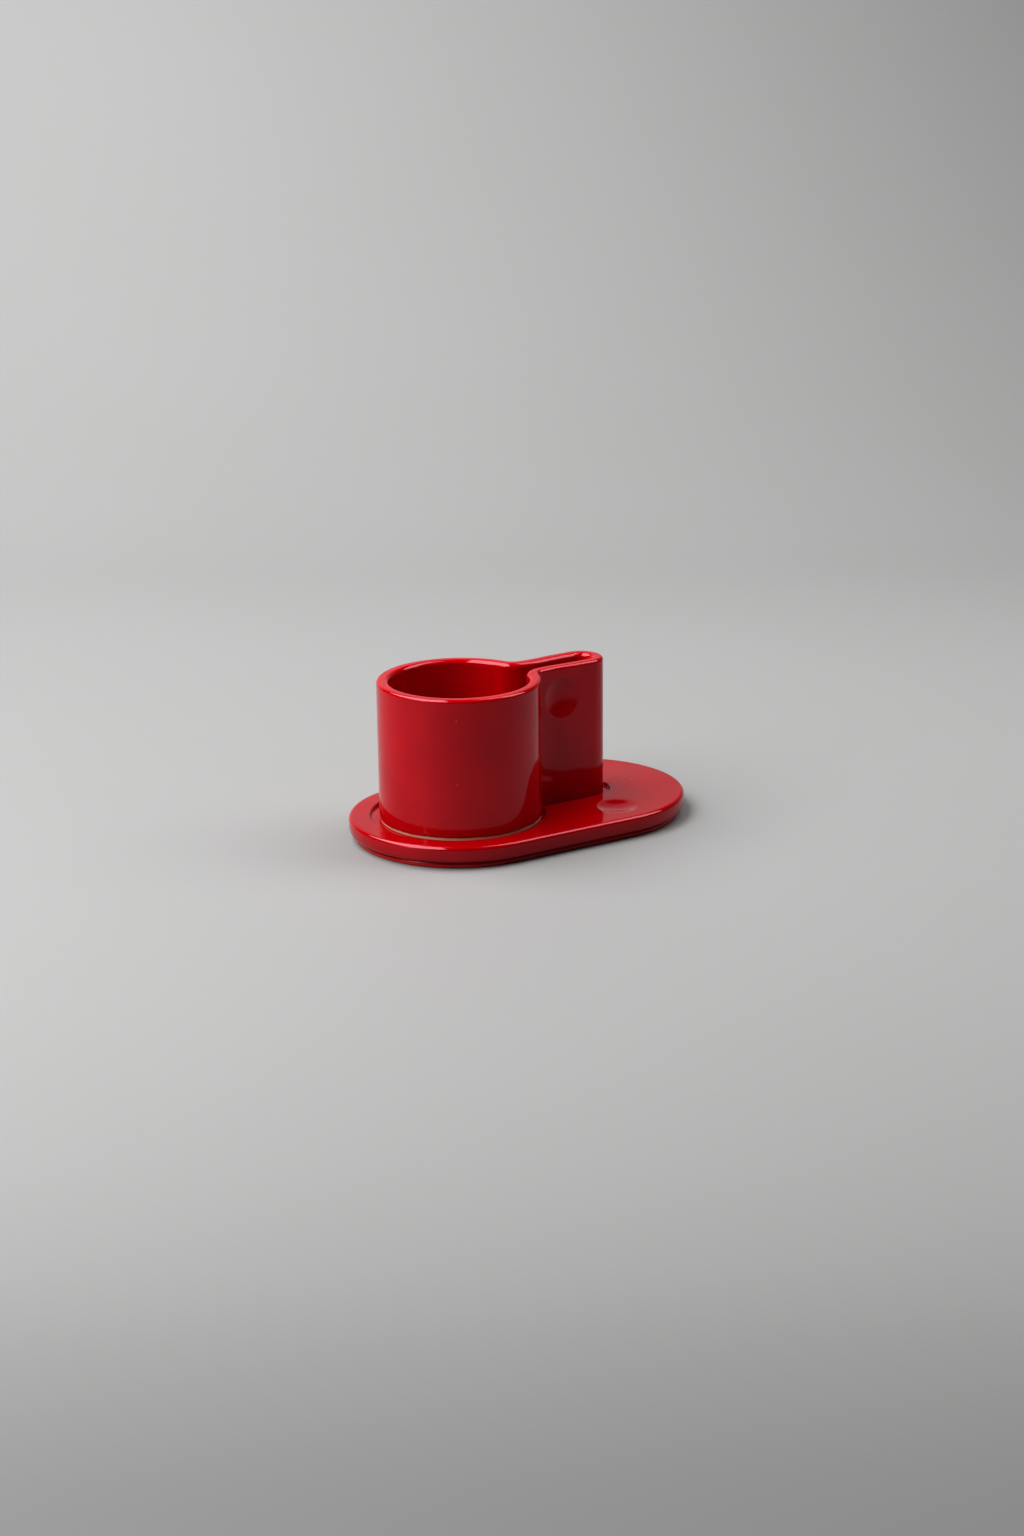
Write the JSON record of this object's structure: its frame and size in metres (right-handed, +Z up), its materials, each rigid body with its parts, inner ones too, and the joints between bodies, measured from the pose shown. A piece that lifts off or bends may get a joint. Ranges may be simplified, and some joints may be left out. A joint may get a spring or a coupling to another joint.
{
  "type": "espresso cup and saucer",
  "caption": "Glazed espresso cup whose wall runs out into a narrow loop handle, standing in a matching recess of a thick saucer with round ends.",
  "frame": {"origin": "middle of the saucer's length and width, on the surface that the saucer stands on", "axes": "+X along the saucer's length, from the cup's round body towards the end of its handle; +Z up; +Y completes the right-handed frame"},
  "size_m": [0.133, 0.082, 0.0598],
  "materials": {
    "cup_glaze": "deep red glossy glaze",
    "bare_clay": "unglazed buff clay",
    "saucer_glaze": "deep red glossy glaze",
    "foot_glaze": "deep red glossy glaze, wiped bare where it stands"
  },
  "bodies": {
    "saucer": {"saucer_plate": "saucer_glaze", "saucer_foot": "foot_glaze"},
    "cup": {"cup_body": "cup_glaze", "cup_foot": "bare_clay"}
  },
  "joints": [
    {"name": "cup_lift", "type": "slide", "parent": "saucer", "child": "cup", "axis": [0, 0, 1], "range_m": [0, 0.07]}
  ]
}
